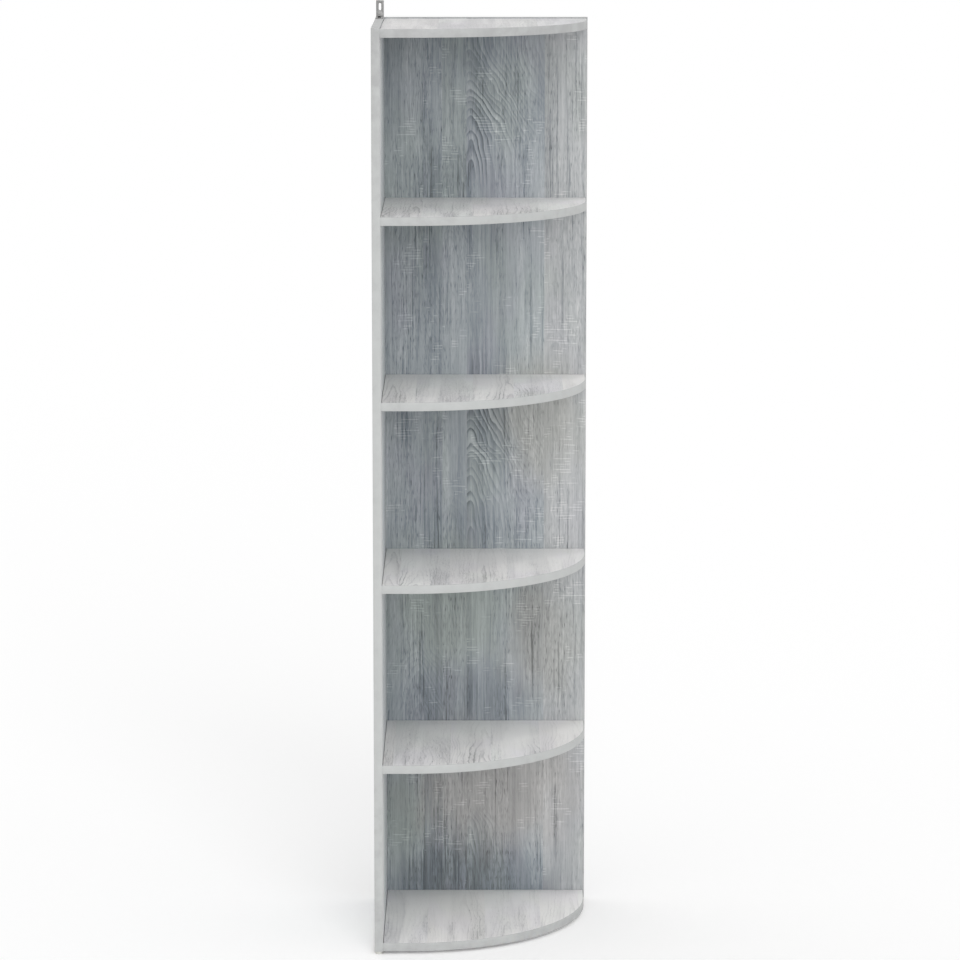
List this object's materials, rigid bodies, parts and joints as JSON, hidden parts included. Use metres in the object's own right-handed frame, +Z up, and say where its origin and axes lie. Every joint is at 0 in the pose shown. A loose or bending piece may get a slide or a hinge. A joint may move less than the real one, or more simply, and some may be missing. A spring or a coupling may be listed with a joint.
{
  "type": "corner shelf unit",
  "caption": "Tall open corner shelf unit with rounded shelves between two upright panels, a bracket for the wall on top and small glides underneath.",
  "frame": {"origin": "on the floor, at the middle of the square footprint", "axes": "+X to the right along the back panel, +Y to the rear, +Z up; the side panel stands at -X and the back panel at +Y"},
  "size_m": [0.383, 0.383, 1.675],
  "materials": {
    "decor_board": "chipboard with a matt grey oak-look surface, lighter on the shelf tops, fine upright grain and saw marks",
    "edge_band": "plain light grey edge strip, satin",
    "zinc_screw": "bright zinc plating",
    "beech_dowel": "plain beech",
    "pale_nylon": "off-white moulded plastic",
    "bracket_steel": "dull grey zinc plating",
    "black_screw": "black coating"
  },
  "bodies": {
    "root": {"side_panel": "decor_board", "back_panel": "decor_board", "side_panel_front_band": "edge_band", "side_panel_top_band": "edge_band", "back_panel_end_band": "edge_band", "back_panel_top_band": "edge_band", "corner_screw_1": "zinc_screw", "corner_screw_2": "zinc_screw", "corner_screw_3": "zinc_screw", "corner_dowel_1": "beech_dowel", "corner_dowel_2": "beech_dowel", "bottom_shelf": "decor_board", "bottom_shelf_front_band": "edge_band", "bottom_shelf_side_screw_front": "zinc_screw", "bottom_shelf_side_screw_rear": "zinc_screw", "bottom_shelf_back_screw_inner": "zinc_screw", "bottom_shelf_back_screw_outer": "zinc_screw", "middle_shelf_1": "decor_board", "middle_shelf_1_front_band": "edge_band", "middle_shelf_1_side_screw_front": "zinc_screw", "middle_shelf_1_side_screw_rear": "zinc_screw", "middle_shelf_1_back_screw_inner": "zinc_screw", "middle_shelf_1_back_screw_outer": "zinc_screw", "middle_shelf_2": "decor_board", "middle_shelf_2_front_band": "edge_band", "middle_shelf_2_side_screw_front": "zinc_screw", "middle_shelf_2_side_screw_rear": "zinc_screw", "middle_shelf_2_back_screw_inner": "zinc_screw", "middle_shelf_2_back_screw_outer": "zinc_screw", "middle_shelf_3": "decor_board", "middle_shelf_3_front_band": "edge_band", "middle_shelf_3_side_screw_front": "zinc_screw", "middle_shelf_3_side_screw_rear": "zinc_screw", "middle_shelf_3_back_screw_inner": "zinc_screw", "middle_shelf_3_back_screw_outer": "zinc_screw", "middle_shelf_4": "decor_board", "middle_shelf_4_front_band": "edge_band", "middle_shelf_4_side_screw_front": "zinc_screw", "middle_shelf_4_side_screw_rear": "zinc_screw", "middle_shelf_4_back_screw_inner": "zinc_screw", "middle_shelf_4_back_screw_outer": "zinc_screw", "top_shelf": "decor_board", "top_shelf_front_band": "edge_band", "top_shelf_side_screw_front": "zinc_screw", "top_shelf_side_screw_rear": "zinc_screw", "top_shelf_back_screw_inner": "zinc_screw", "top_shelf_back_screw_outer": "zinc_screw", "glide_side_front": "pale_nylon", "glide_side_front_nail": "zinc_screw", "glide_side_rear": "pale_nylon", "glide_side_rear_nail": "zinc_screw", "glide_back_end": "pale_nylon", "glide_back_end_nail": "zinc_screw", "glide_shelf_front": "pale_nylon", "glide_shelf_front_nail": "zinc_screw", "wall_bracket": "bracket_steel", "wall_bracket_screw": "black_screw"}
  },
  "joints": []
}
